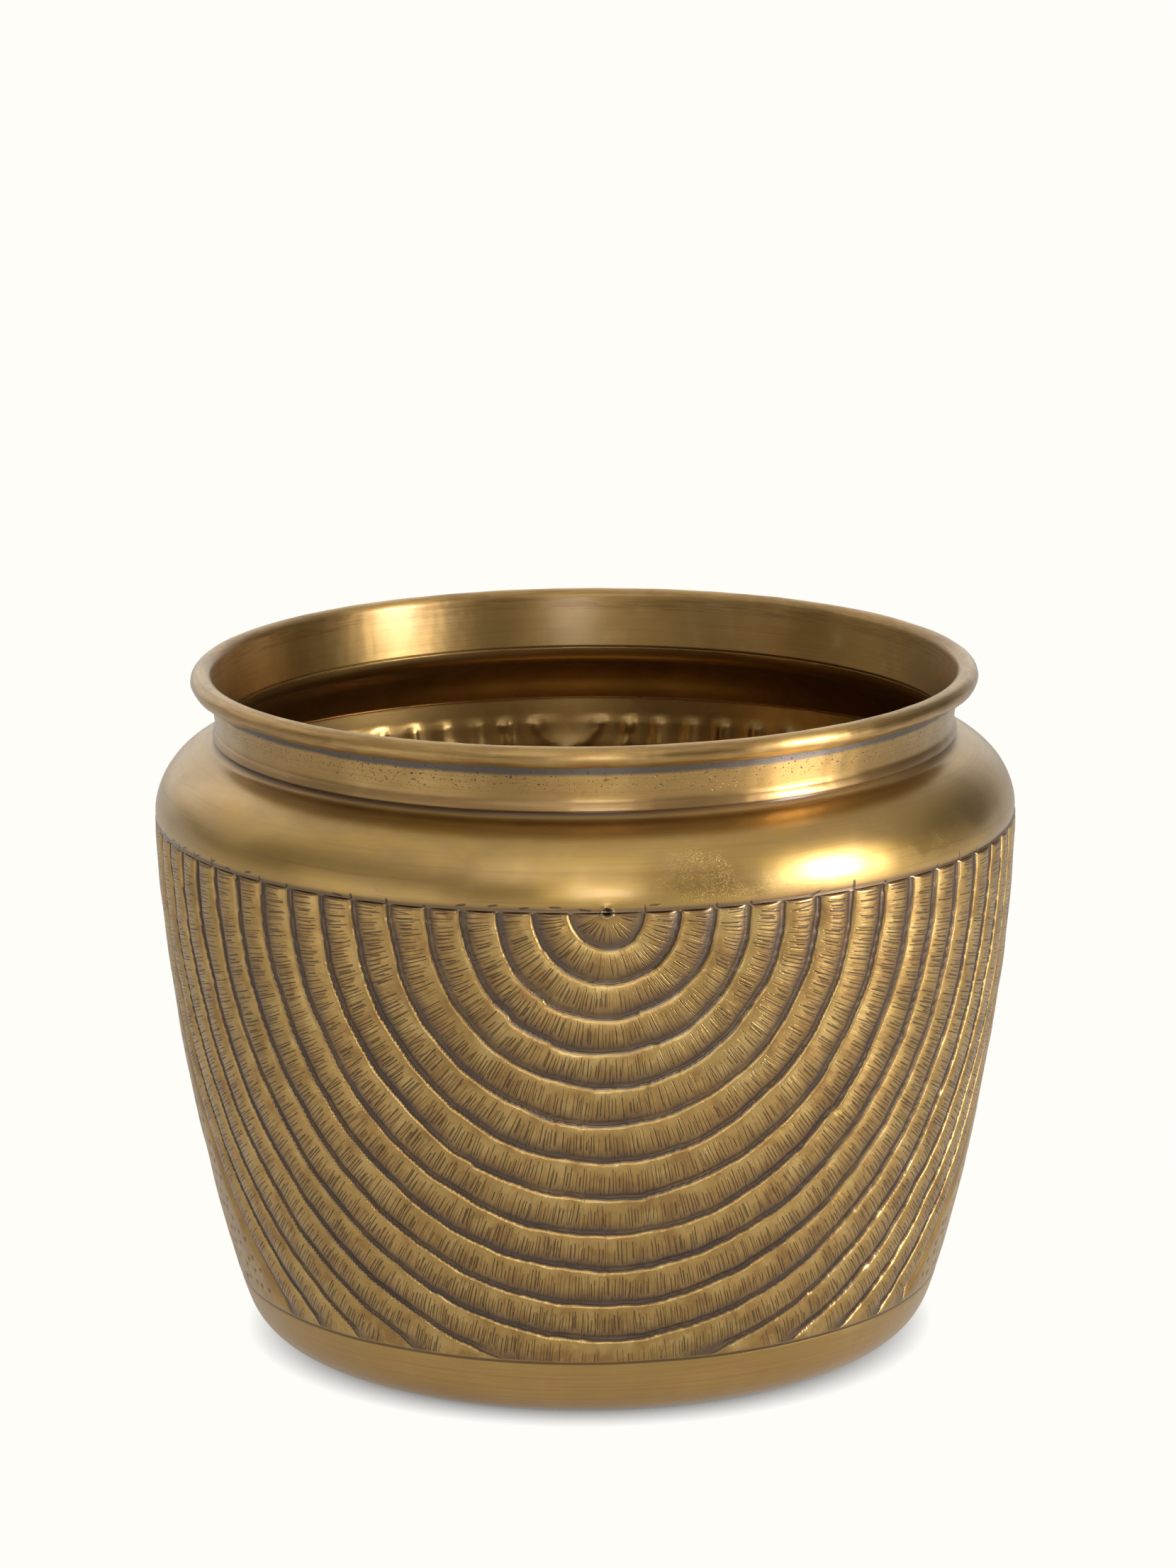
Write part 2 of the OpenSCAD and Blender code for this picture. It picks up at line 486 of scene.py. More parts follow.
# ---- Bowl ----
bowl_outline = section("bowl")
SHEET = bowl_outline[-1][1] - bowl_outline[0][1]
bowl_curve = turned(bowl_outline, False, lambda corner: 0.4 * MM)
lip_index = int(np.argmax(bowl_curve[:, 1]))
outer_wall = bowl_curve[:lip_index]
LIP_Z = float(bowl_curve[:, 1].max())
LIP_R = float(outer_wall[outer_wall[:, 1] < LIP_Z - 0.4 * MM][-1, 0])
WALL_TOP_Z = float(outer_wall[np.argmax(outer_wall[:, 0]), 1])

# Distance down the wall from the belly line, and the wall's normal, by height
wall = outer_wall[(outer_wall[:, 0] > BASE_R) & (outer_wall[:, 1] < WALL_TOP_Z)]
wall = np.vstack([wall, [[BELLY_R, WALL_TOP_Z], [BELLY_R, BELLY_Z], [BELLY_R, TOP_Z]]])
wall_normal = facing(wall)
wall_along = travelled(wall)
wall_down = np.interp(BELLY_Z, wall[:, 1], wall_along) - wall_along


def wall_at(points):
    """For points of the bowl: distance down the wall from the belly line, and the wall's normal."""
    r, z = points.T
    height = z
    for _ in range(2):
        lean = pairs_at(height, wall[:, 1], wall_normal)
        off = np.interp(height, wall[:, 1], wall[:, 0]) - r
        height = z + np.clip(off, 0, 3 * MM) * lean[:, 0] * lean[:, 1]
    down = np.interp(height, wall[:, 1], wall_down)
    return np.where(r > BASE_R, down, BASE_DOWN), lean


def crease(y):
    """Depth of the crease under the shoulder's edge, which goes on as the recess of the lap."""
    return CREASE_DEPTH * (1 - smoothstep(y, 0.2 * MM, CREASE_H))


def press_sheet(azimuth, y, spots):
    """Depth to which the bowl's sheet is pressed in at wall points."""
    fan, x = fan_place(azimuth, azimuth)
    _, depth = fans_field(fan, x, y)
    fade = smoothstep(BOTTOM_LINE - y, *PATTERN_FADE)
    depth = (depth + dents(spots, HAMMERED) + DOT_DEPTH * dot_field(azimuth, y)) * fade
    depth += dents(spots, WALL_DENT) + LINE_DEPTH * np.exp(-((y - BOTTOM_LINE) / LINE_HALF) ** 2)
    near_punch = np.exp(-(x ** 2 + y ** 2) / (3 * MM) ** 2)
    depth = (np.maximum(depth, 0) ** 4 + (crease(y) * (1 - near_punch)) ** 4) ** 0.25
    depth += punch_field(x, y)
    return np.maximum(depth, 0.03 * MM)


def bowl_shape(azimuth, points, normals):
    y, lean = wall_at(points)
    r, z = points.T
    depth = press_sheet(azimuth, np.maximum(y, 0), around(azimuth, BELLY_R, z))
    lap = smoothstep(y, -0.4 * MM, 0.2 * MM)
    # The dents fade out on the foot, before the flat base
    base = np.exp(-np.maximum(y - BOTTOM_LINE - 12 * MM, 0) / (3 * MM))
    recess = np.where(z > WALL_TOP_Z, recess_at(z), 0)
    inner = smoothstep(-normals[:, 0], 0, 0.5) * (r > BASE_R)
    softer = np.maximum(INNER_SHARE * depth, depth - INNER_LOSS)
    depth = depth + (softer - depth) * inner
    move = np.where(y < 0.2 * MM, 0, recess * (1 - inner) - depth * base) * lap
    return swollen(points, inner) + move[:, None] * lean


def swollen(points, inner):
    """The bowl with its inner skin leaning in below the lip, where the lap's step would show."""
    r, z = points.T
    drop = LIP_Z - z
    lip = BELLY_R - SHEET - (LIP_R - 0.15 * MM)
    above = np.interp(drop, [0, SWELL_DROP], [lip, INNER_SWELL])
    below = INNER_SWELL * (1 - smoothstep(drop, SWELL_DROP, SWELL_DROP + SWELL_FADE))
    skin = np.interp(z, wall[:, 1], wall[:, 0]) - SHEET
    wanted = np.where(drop < SWELL_DROP, skin - above, r - below)
    return np.column_stack([r + (wanted - r) * inner, z])


def recess_at(z):
    """How far the CAD wall's own lap bend has moved in at a height, for points of either skin."""
    return np.clip(BELLY_R - np.interp(z, outer_wall[:, 1], outer_wall[:, 0]), 0, None)


def patterned(y):
    """Whether the wall has the pattern there, with a margin."""
    return (y > -1 * MM) & (y < BOTTOM_LINE + 2 * MM)


def bowl_step(points):
    y, _ = wall_at(points)
    outer = np.arange(len(points)) < lip_index      # points is the whole of bowl_curve
    step = np.where(patterned(y), np.where(outer, WALL_STEP, 2 * WALL_STEP), SMOOTH_STEP)
    fine = (np.abs(y - BOTTOM_LINE) < 1.6 * MM) | (np.abs(y - 0.8 * MM) < 1.6 * MM)
    step = np.where(fine & outer, LINE_STEP, step)
    return np.where(points[:, 0] < BASE_R, BASE_STEP, step)


def bowl_halvings(points, normals):
    y, _ = wall_at(points)
    wanted = np.where(patterned(y) & (normals[:, 0] > 0), 0, 1)
    sparse = np.log2(np.maximum(BELLY_R / np.maximum(points[:, 0], 1 * MM), 1)).astype(int) + 2
    return np.where(points[:, 0] < BASE_R, np.minimum(sparse, 6), wanted)


def bowl_inside(points, normals):
    return np.arange(len(points)) > np.argmax(points[:, 1])


bowl, bowl_azimuth, bowl_points, _ = lathe(
    "bowl_embossed", bowl_curve, False, bowl_step, bowl_halvings, bowl_shape, bowl_inside
)


def corners_of(piece):
    """Each face corner's vertex and its face's azimuth."""
    mesh = piece.data
    vertex = read(mesh.loops, "vertex_index", 1, int)[:, 0]
    sides = read(mesh.polygons, "loop_total", 1, int)[:, 0]
    x, y, _ = read(mesh.polygons, "center", 3).T
    return vertex, np.repeat(np.arctan2(x, -y), sides)


def record_fans(piece, azimuth, y):
    """Stores each face corner's place in its fan: (across, down) in millimetres, and the band count."""
    vertex, face_azimuth = corners_of(piece)
    fan, x = fan_place(azimuth[vertex], face_azimuth)
    down = y[vertex]
    ring, _ = fans_field(fan, x, np.maximum(down, 0))
    record(piece, "fan", np.column_stack([x / MM, down / MM, ring]), "CORNER", "FLOAT_VECTOR")


bowl_y, _ = wall_at(bowl_points)
record_fans(bowl, bowl_azimuth, bowl_y)
on_belly = around(bowl_azimuth, BELLY_R, bowl_points[:, 1])
pressed = press_sheet(bowl_azimuth, np.maximum(bowl_y, 0), on_belly)
record(bowl, "recess", pressed / MM)
record(bowl, "dot", dot_field(bowl_azimuth, bowl_y))


# ---- Shoulder ----
def shoulder_radius(corner):
    """The lower edge is rounded off more than the others."""
    return 0.6 * MM if corner[1] < BELLY_Z + 1 * MM else 0.12 * MM


shoulder_curve = turned(section("shoulder"), True, shoulder_radius)


def shoulder_shape(azimuth, points, normals):
    outer = smoothstep(normals[:, 0] + normals[:, 1], 0, 0.5)
    r, z = points.T
    low = np.clip((BELLY_Z + TUCK_H - z) / TUCK_H, 0, 1)
    dented = np.maximum(dents(around(azimuth, r, z), *SHOULDER_DENTS), 0)
    _, x = fan_place(azimuth, azimuth)
    move = TUCK * low ** 2 + dented + punch_field(x, BELLY_Z - z)
    return points - (np.maximum(move, 0) * outer)[:, None] * normals


def by_seam(points):
    """Whether the points are at the shoulder's lower edge, which needs a finer mesh."""
    return points[:, 1] < BELLY_Z + 4 * MM


def shoulder_step(points):
    return np.where(by_seam(points), 0.7 * MM, 1.6 * MM)


def shoulder_halvings(points, normals):
    outer = normals[:, 0] + normals[:, 1] > 0
    return np.where(outer, np.where(by_seam(points), 0, 1), 2)


shoulder, shoulder_azimuth, shoulder_points, _ = lathe(
    "shoulder_spun", shoulder_curve, True, shoulder_step, shoulder_halvings, shoulder_shape,
    lambda points, normals: normals[:, 0] + normals[:, 1] < 0,
)
record_fans(shoulder, shoulder_azimuth, BELLY_Z - shoulder_points[:, 1])


# ---- Collar ----
collar_outline = section("neck_band")
# The outer radius of the straight part of the neck, and the outer skin where it turns into the roll
neck_part = collar_outline[np.abs(collar_outline[:, 1] - COLLAR_Z - 6.5 * MM) < 1.5 * MM]
NECK_R = float(neck_part[:, 0].max())
ROLL_START_R = RIM_R - (TOP_Z - ROLL_Z) * (1 + math.cos(math.radians(30)))
ROLL_START_Z = (ROLL_Z + TOP_Z) / 2
collar_curve = turned(collar_outline, True, lambda corner: 0.35 * MM)


def neck_cone(points, normals):
    """The points, with the neck as one cone from the upstand to the roll. Its inner face fills the step
    over the upstand."""
    r, z = points.T
    height = (z - UPSTAND_Z) / (ROLL_START_Z - UPSTAND_Z)
    cone = NECK_R - SHEET + (ROLL_START_R - NECK_R + SHEET) * height
    neck = (height > 0.008) & (height < 1)
    reach = np.where(height < 0.2, LAP_FILL, CONE_REACH)
    inner = neck & (normals[:, 0] < 0.2) & (r < cone + reach)
    outer = neck & (normals[:, 0] > 0.2) & (r < cone + SHEET)
    return np.column_stack([np.where(inner, cone, np.where(outer, cone + SHEET, r)), z])


def collar_shape(azimuth, points, normals):
    r, z = points.T
    outward = smoothstep(normals[:, 0], -0.2, 0.3)
    rolled = smoothstep(r, RIM_R - 7 * MM, RIM_R - 5 * MM)
    under = rolled * smoothstep(-normals[:, 1], 0.0, 0.8)
    swage = outward * (1 - smoothstep(z, COLLAR_Z + 3.6 * MM, COLLAR_Z + 5 * MM))
    swage *= smoothstep(z, COLLAR_Z, COLLAR_Z + 4 * MM)
    swage *= smoothstep(r, NECK_R, NECK_R + 1 * MM)
    spots = around(azimuth, r, z)
    move = np.maximum(dents(spots, *COLLAR_DENTS), 0) * np.maximum(outward, rolled)
    move += np.maximum(dents(spots, *ROLL_DENTS) + ROLL_SHORT, 0) * under + SWAGE_SOFT * swage
    return neck_cone(points, normals) - move[:, None] * normals


collar, _, _, collar_normals = lathe(
    "collar_rolled", collar_curve, True,
    lambda points: np.full(len(points), 1.1 * MM),
    lambda points, normals: np.full(len(points), 1),
    collar_shape,
    lambda points, normals: np.zeros(len(points), bool),
)
record(collar, "outside", smoothstep(collar_normals[:, 0], -0.1, 0.3))


# ---- Materials ----
class Signal:
    """A number that varies over a surface. Arithmetic on it adds Math nodes."""

    def __init__(self, nodes, socket):
        self.nodes = nodes
        self.socket = socket

    def __add__(self, other):
        return self.nodes.math("ADD", self, other)

    def __sub__(self, other):
        return self.nodes.math("SUBTRACT", self, other)

    def __rsub__(self, other):
        return self.nodes.math("SUBTRACT", other, self)

    def __mul__(self, other):
        return self.nodes.math("MULTIPLY", self, other)

    def __truediv__(self, other):
        return self.nodes.math("DIVIDE", self, other)

    __radd__ = __add__
    __rmul__ = __mul__


class Nodes:
    """A node tree and the tools that build it. An input is a constant, a socket or a Signal."""

    def __init__(self, owner):
        owner.use_nodes = True
        self.tree = owner.node_tree

    def add(self, kind, inputs=(), **settings):
        made = self.tree.nodes.new("ShaderNode" + kind)
        for name, value in settings.items():
            setattr(made, name, value)
        for key, value in dict(inputs).items():
            self.plug(made.inputs[key], value)
        return made

    def plug(self, socket, value):
        if isinstance(value, Signal):
            value = value.socket
        if isinstance(value, bpy.types.NodeSocket):
            self.tree.links.new(value, socket)
        else:
            socket.default_value = value

    def parts(self, vector):
        return [Signal(self, out) for out in self.add("SeparateXYZ", {0: vector}).outputs]

    def math(self, operation, *values):
        made = self.add("Math", enumerate(values), operation=operation)
        return Signal(self, made.outputs[0])

    def rise(self, value, low, high, start=0.0, end=1.0):
        """start below low and end above high, with a smooth step between."""
        made = self.add(
            "MapRange",
            {"Value": value, "From Min": low, "From Max": high, "To Min": start, "To Max": end},
            interpolation_type="SMOOTHSTEP",
        )
        return Signal(self, made.outputs[0])

    def fall(self, value, low, high):
        """1 below low and 0 above high."""
        return 1.0 - self.rise(value, low, high)

    def seen_or_lit(self, seen, lit):
        """The shader that the camera sees, and the one that lights the pot and shows in it."""
        path = self.add("LightPath")
        inputs = {0: path.outputs["Is Camera Ray"], 1: lit.outputs[0], 2: seen.outputs[0]}
        return self.add("MixShader", inputs).outputs[0]


class Finish(Nodes):
    """One material and the tools that build its surface."""

    def __init__(self, name, colour, anisotropic=0.0, lacquer=0.0):
        self.material = bpy.data.materials.new(name)
        super().__init__(self.material)
        self.colour = colour
        self.shader = self.tree.nodes["Principled BSDF"]
        even = {"Metallic": 1.0, "Anisotropic": anisotropic, "Coat Weight": lacquer, "Coat Roughness": 0.2}
        for key, value in even.items():
            self.shader.inputs[key].default_value = value
        if anisotropic:
            around_z = self.add("Tangent", direction_type="RADIAL", axis="Z")
            self.plug(self.shader.inputs["Tangent"], around_z.outputs[0])
            self.shader.inputs["Anisotropic Rotation"].default_value = 0.25

    def attribute(self, name):
        return Signal(self, self.add("Attribute", attribute_name=name).outputs["Fac"])

    def fan(self):
        """The (across, down, band count) that record_fans stored."""
        return self.parts(self.add("Attribute", attribute_name="fan").outputs["Vector"])

    def place(self):
        """Object coordinates in millimetres, as a vector and as x, y and z."""
        metres = self.add("TexCoord").outputs["Object"]
        spot = self.add("VectorMath", {0: metres, 3: 1 / MM}, operation="SCALE").outputs[0]
        return spot, *self.parts(spot)

    def vector(self, x, y, z):
        return self.add("CombineXYZ", {0: x, 1: y, 2: z}).outputs[0]

    def noise(self, vector, scale, detail=2.0, roughness=0.5, distortion=0.0):
        made = self.add(
            "TexNoise",
            {"Vector": vector, "Scale": scale, "Detail": detail, "Roughness": roughness,
             "Distortion": distortion},
        )
        return Signal(self, made.outputs[0])

    def random(self, x, y, z):
        """Three random numbers for each whole-number place."""
        made = self.add("TexWhiteNoise", {"Vector": self.vector(x, y, z)}, noise_dimensions="3D")
        parts = self.add("SeparateColor", {0: made.outputs["Color"]})
        return [Signal(self, out) for out in parts.outputs]

    def stain(self, tint, amount):
        """Lays a tint over the colour so far."""
        mixed = self.add("Mix", {0: amount, 6: self.colour, 7: tint}, data_type="RGBA")
        self.colour = mixed.outputs[2]

    def bump(self, height):
        """Relief of a height in millimetres."""
        made = self.add("Bump", {"Height": height, "Distance": MM, "Strength": 1.0})
        self.plug(self.shader.inputs["Normal"], made.outputs[0])

    def finish(self, roughness):
        self.plug(self.shader.inputs["Base Color"], self.colour)
        self.plug(self.shader.inputs["Roughness"], roughness)
        return self.material


GOLD = (0.52, 0.32, 0.105, 1)
PALE_GOLD = (0.61, 0.42, 0.16, 1)
OLIVE_GOLD = (0.43, 0.272, 0.085, 1)
DEEP_GOLD = (0.53, 0.325, 0.075, 1)
RED_BROWN = (0.30, 0.158, 0.05, 1)
PATINA = (0.135, 0.098, 0.078, 1)
DEEP_PATINA = (0.065, 0.043, 0.033, 1)
# painted shade in the grooves, partly patina
GROOVE_BROWN = (0.205, 0.120, 0.058, 1)
# painted shade, in the creases at the collar's foot
SHADE_UMBER = (0.15, 0.08, 0.028, 1)
BEAD_BROWN = (0.40, 0.235, 0.095, 1)
BLUE_GREY = (0.14, 0.127, 0.122, 1)
# painted shade: the inside's brass is darker than GOLD
INSIDE_BROWN = (0.46, 0.29, 0.10, 1)
INSIDE_OLIVE = (0.33, 0.2, 0.068, 1)
STEEL = (0.42, 0.41, 0.39, 1)
RUST = (0.20, 0.09, 0.04, 1)
BRAZE = (0.50, 0.30, 0.15, 1)
PALE_BRAZE = (0.60, 0.42, 0.22, 1)
NICK_SPACING = 11.0        # millimetres along the seam
BAND_MM = 13.0             # about a band's width


def tarnish(f, spot, scale=1.0):
    """Colours brass from pale to olive, in clouds some centimetres wide, and returns the clouds."""
    clouds = f.noise(spot, 0.022 * scale, 4.0, 0.6, 0.6)
    f.stain(OLIVE_GOLD, f.rise(clouds, 0.35, 0.7))
    f.stain(PALE_GOLD, f.rise(f.noise(spot, 0.05 * scale, 3.0, 0.6), 0.52, 0.8) * 0.7)
    return clouds


def brushing(f, x, y, z, fineness=1.0):
    """Fine lines that run round the pot, about 0.5 on average."""
    coarse = f.noise(f.vector(x * 0.012, y * 0.012, z * 2.2 * fineness), 1.0, 3.0, 0.7)
    fine = f.noise(f.vector(x * 0.03, y * 0.03, z * 7 * fineness), 1.0, 2.0, 0.6)
    return coarse * 0.5 + fine * 0.5


def band_place(f, ring):
    """Which band a point is in, its share of the way across, and that band's width and middle radius."""
    band = f.math("FLOOR", ring)
    wide = f.math("GREATER_THAN", band, NARROW_BANDS - 0.5)
    width = wide * (BAND_GROWTH / MM) + NARROW_BAND / MM
    middle = band * (NARROW_BAND / MM) + NARROW_BAND / MM / 2
    middle = middle + f.math("MAXIMUM", band - (NARROW_BANDS - 0.5), 0.0) * (BAND_GROWTH / MM)
    return band, ring - band, width, middle


def tick_marks(f, angle, band, t, middle, spacing, seed):
    """Short chisel cuts across the bands, each with its own place, slant, length and weight."""
    arc = angle * middle
    drift = f.noise(f.vector(arc * 0.09, band * 3.7 + seed, 0.0), 1.0, 2.0)
    lean = f.noise(f.vector(arc * 0.035, band * 5.1, seed), 1.0, 1.0)
    phase = arc / spacing + drift * 2.2 + (lean - 0.5) * (t - 0.5) * 5.0
    cell = f.math("FLOOR", phase)
    place, size, reach = f.random(band, cell, seed)
    slant = (reach - 0.5) * (t - 0.5) * 0.5
    off = f.math("ABSOLUTE", phase - cell - 0.5 - (place - 0.5) * 0.5 + slant) * spacing
    line = f.fall(off / (size * 0.11 + 0.09), 0.4, 1.5)
    start = f.rise(t - reach * 0.28, 0.10, 0.17)
    end = f.fall(t + size * 0.3, 0.9, 1.02)
    shown = f.rise(place + size, 0.3, 1.2) * 0.8 + 0.2
    low = f.math("COSINE", angle) * middle
    room = f.fall(low + place * 5.0, BOTTOM_LINE / MM - 1.0, BOTTOM_LINE / MM + 0.5)
    return line * start * end * shown * room


def punch(f, across, down):
    """Stains the centre punch's dark ring, and returns the height of its lip and pit."""
    reach = f.math("SQRT", across * across + down * down)
    ring = f.rise(reach, 0.15, 0.6) * f.fall(reach, 1.1, 1.8)
    f.stain(DEEP_PATINA, ring * 0.75)
    lip = f.rise(reach, 1.2, 1.9) * f.fall(reach, 1.9, 2.8)
    return lip * 0.3 - f.fall(reach, 0.2, 1.3) * 0.5


def embossed_brass():
    """The bowl's outside: hammered, with patina and painted shade in the grooves, dots and chisel cuts."""
    f = Finish("embossed_brass", GOLD, lacquer=0.35)
    across, down, ring = f.fan()
    recess, dot = f.attribute("recess"), f.attribute("dot")
    spot, x, y, z = f.place()
    band, t, width, middle = band_place(f, ring)
    angle = f.math("ARCTAN2", across, down)
    arc = angle * middle
    past_end = down - BOTTOM_LINE / MM
    patterned = f.rise(down, 0.4, 1.2) * f.fall(past_end, -1.5, -0.3)
    in_fan = f.fall(ring, FAN_GROOVES - 0.01, FAN_GROOVES) * patterned
    beyond_first = f.rise(ring, 0.5, 0.6) * patterned
    to_outer, from_inner = (1.0 - t) * width, t * width

    # Brass that the maker left uneven: clouds, blotches along the bands, dragged streaks
    clouds = tarnish(f, spot)
    blotch = f.noise(f.vector(arc * 0.10, band * 3.1, t * 1.5), 1.0, 3.0, 0.6)
    f.stain(PALE_GOLD, f.rise(blotch, 0.5, 0.7) * in_fan * 0.7)
    f.stain(RED_BROWN, f.fall(blotch, 0.32, 0.52) * in_fan * 0.65)
    streaks = f.noise(f.vector(arc * 0.62, band * 5.3, t * 0.8), 1.0, 3.0, 0.7)
    drag = f.rise(streaks, 0.44, 0.68) * f.rise(t, 0.1, 0.7) * in_fan
    f.stain(RED_BROWN, drag * 0.55)

    # Patina and painted shade: wide and soft up to each groove, where the darkening stands partly for the
    # groove's shade, and narrow patina beyond it
    along = f.noise(f.vector(arc * 0.045, band * 7.1, 0.5), 1.0, 2.0)
    weight = f.rise(along, 0.3, 0.7) * 0.75 + 0.25
    wide = f.fall(to_outer + (streaks - 0.5) * 3.4, 0.8, 8.6) * (weight * 0.8 + 0.2) * in_fan
    core = f.fall(to_outer, 0.5, 5.4) * (weight * 0.7 + 0.3) * in_fan
    rim = f.fall(from_inner, 0.1, 0.8) * beyond_first
    f.stain(GROOVE_BROWN, wide * 0.9)
    f.stain(PATINA, f.math("MAXIMUM", core * 0.85, rim * 0.6))
    edge = f.noise(spot, 0.35, 3.0, 0.6)
    stain = f.rise(recess + (edge - 0.5) * 0.5, 1.0, 1.9)
    f.stain(PATINA, stain * 0.5)
    wear_and_rim_highlight = f.rise(f.noise(spot, 0.07, 3.0, 0.6), 0.4, 0.65) * (patterned - in_fan)
    f.stain(RED_BROWN, wear_and_rim_highlight * 0.5)
    f.stain(DEEP_PATINA, f.rise(dot, 0.2, 0.7) * 0.75)
    seam = f.fall(down, 0.4, 1.8)
    f.stain(PATINA, seam * 0.7)

    # Chisel work
    cuts = f.math(
        "MAXIMUM",
        tick_marks(f, angle, band, t, middle, 1.3, 3.0),
        tick_marks(f, angle, band, t, middle, 2.1, 8.0) * 0.8,
    )
    cuts = cuts * in_fan * f.rise(ring, 0.3, 0.45)
    f.stain(DEEP_PATINA, cuts * 0.85)
    chase = f.fall(f.math("MINIMUM", to_outer, from_inner), 0.12, 0.42) * beyond_first
    f.stain(DEEP_PATINA, chase * 0.65)
    line = f.fall(f.math("ABSOLUTE", past_end), 0.2, 0.8)
    f.stain(DEEP_PATINA, line * 0.75)
    pit = punch(f, across, down)

    # The plain foot, brushed round
    foot = f.rise(past_end, 1.0, 3.0)
    f.stain(GOLD, foot * 0.6)
    # Darker towards the bottom of the foot
    foot_darkening = f.rise(past_end + (clouds - 0.5) * 6.0, 8.0, 30.0)
    f.stain(RED_BROWN, foot_darkening * 0.45)
    brushed = brushing(f, x, y, z) * foot
    f.stain(RED_BROWN, f.rise(brushed, 0.46, 0.64) * 0.4)

    grain = f.noise(spot, 1.6, 3.0, 0.7)
    hammer = f.noise(spot, 0.14, 2.0, 0.5)
    groove = f.fall(to_outer, 0.0, 2.6) * in_fan
    groove = f.math("MAXIMUM", groove, f.fall(from_inner, 0.0, 1.2) * beyond_first)
    high = hammer * 0.26 + grain * 0.02 + streaks * in_fan * 0.14 + brushed * 0.03
    f.bump(high + pit - groove * 0.25 - cuts * 0.2 - chase * 0.15 - line * 0.1)
    rough = grain * 0.08 + clouds * 0.10 + 0.27
    return f.finish(rough + core * 0.12 + cuts * 0.15 + drag * 0.05 - foot * 0.04)


def spun_brass():
    """The shoulder: satin, brushed round the pot, with painted shade under the collar and nicks along its
    lower edge.
    """
    f = Finish("spun_brass", GOLD, anisotropic=0.45, lacquer=0.55)
    across, down, ring = f.fan()
    spot, x, y, z = f.place()
    clouds = tarnish(f, spot, 0.8)
    drift = f.noise(f.vector(x * 0.018, y * 0.018, z * 0.06), 1.0, 4.0, 0.65, 0.8)
    f.stain(DEEP_GOLD, f.fall(drift, 0.3, 0.6))
    f.stain(RED_BROWN, f.rise(drift, 0.55, 0.75) * 0.45)
    lines = brushing(f, x, y, z)
    f.stain(OLIVE_GOLD, f.rise(lines, 0.45, 0.68) * 0.6)
    bands = f.noise(f.vector(x * 0.01, y * 0.01, z * 0.55), 1.0, 3.0, 0.6)
    f.stain(RED_BROWN, f.rise(bands, 0.5, 0.75) * 0.35)
    # Painted shade: darker brown under the collar, and darkest in the hollow just below it
    below_collar = COLLAR_Z / MM - z
    collar_shade = f.fall(below_collar + (clouds - 0.5) * 3.0, 0.0, 4.5)
    f.stain(RED_BROWN, collar_shade * 0.75)
    hollow_shade = f.fall(below_collar, 0.8, 3.0)
    f.stain(SHADE_UMBER, hollow_shade * 0.9)
    low_edge = f.fall(z - BELLY_Z / MM + (clouds - 0.5) * 2.0, 0.3, 2.2)
    f.stain(PATINA, low_edge * 0.75)

    # Nicks in the seam, fewer right of the middle, and grooves whose ends run past it
    along = across / NICK_SPACING
    cell = f.math("FLOOR", along)
    chance, spread, lift = f.random(cell, 4.0, 1.0)
    off = along - cell - 0.3 - spread * 0.4
    nick = f.fall(f.math("ABSOLUTE", off) / (chance * 0.5 + 0.5), 0.1, 0.26)
    height = down + off * (spread - 0.3) * 6.0 + lift * 1.6 + 0.6
    nick = nick * f.fall(f.math("ABSOLUTE", height), 0.15, 0.5)
    nick = nick * f.rise(chance - f.rise(across, -6.0, 6.0) * 0.4, 0.35, 0.4)
    nearest = f.math("ROUND", ring)
    off_groove = f.math("ABSOLUTE", ring - nearest) * BAND_MM
    end_chance, end_reach, _ = f.random(nearest, f.math("SIGN", across), 5.0)
    over = f.fall(off_groove, 0.15, 0.55) * f.fall(0.0 - down - end_reach * 3.0, 0.0, 0.8)
    marks = f.math("MAXIMUM", nick, over * f.rise(end_chance, 0.5, 0.55))
    f.stain(DEEP_PATINA, marks * 0.8)
    pit = punch(f, across, down)

    slanted = f.vector(x * 0.3 + z * 0.9, y * 0.3, z * 0.5 - x * 0.8)
    scratches = f.fall(f.math("ABSOLUTE", f.noise(slanted, 1.4, 2.0, 0.4, 0.8) - 0.5), 0.0, 0.012)
    scratches = scratches * f.rise(f.noise(spot, 0.03, 2.0), 0.5, 0.62)
    grain = f.noise(spot, 2.2, 3.0, 0.7)
    broad = f.noise(spot, 0.06, 2.0)
    f.bump(lines * 0.03 + grain * 0.014 + broad * 0.16 + pit - marks * 0.2 - scratches * 0.012)
    rough = lines * 0.12 + clouds * 0.12 + 0.22 + low_edge * 0.15
    return f.finish(rough + collar_shade * 0.08 + hollow_shade * 0.3)


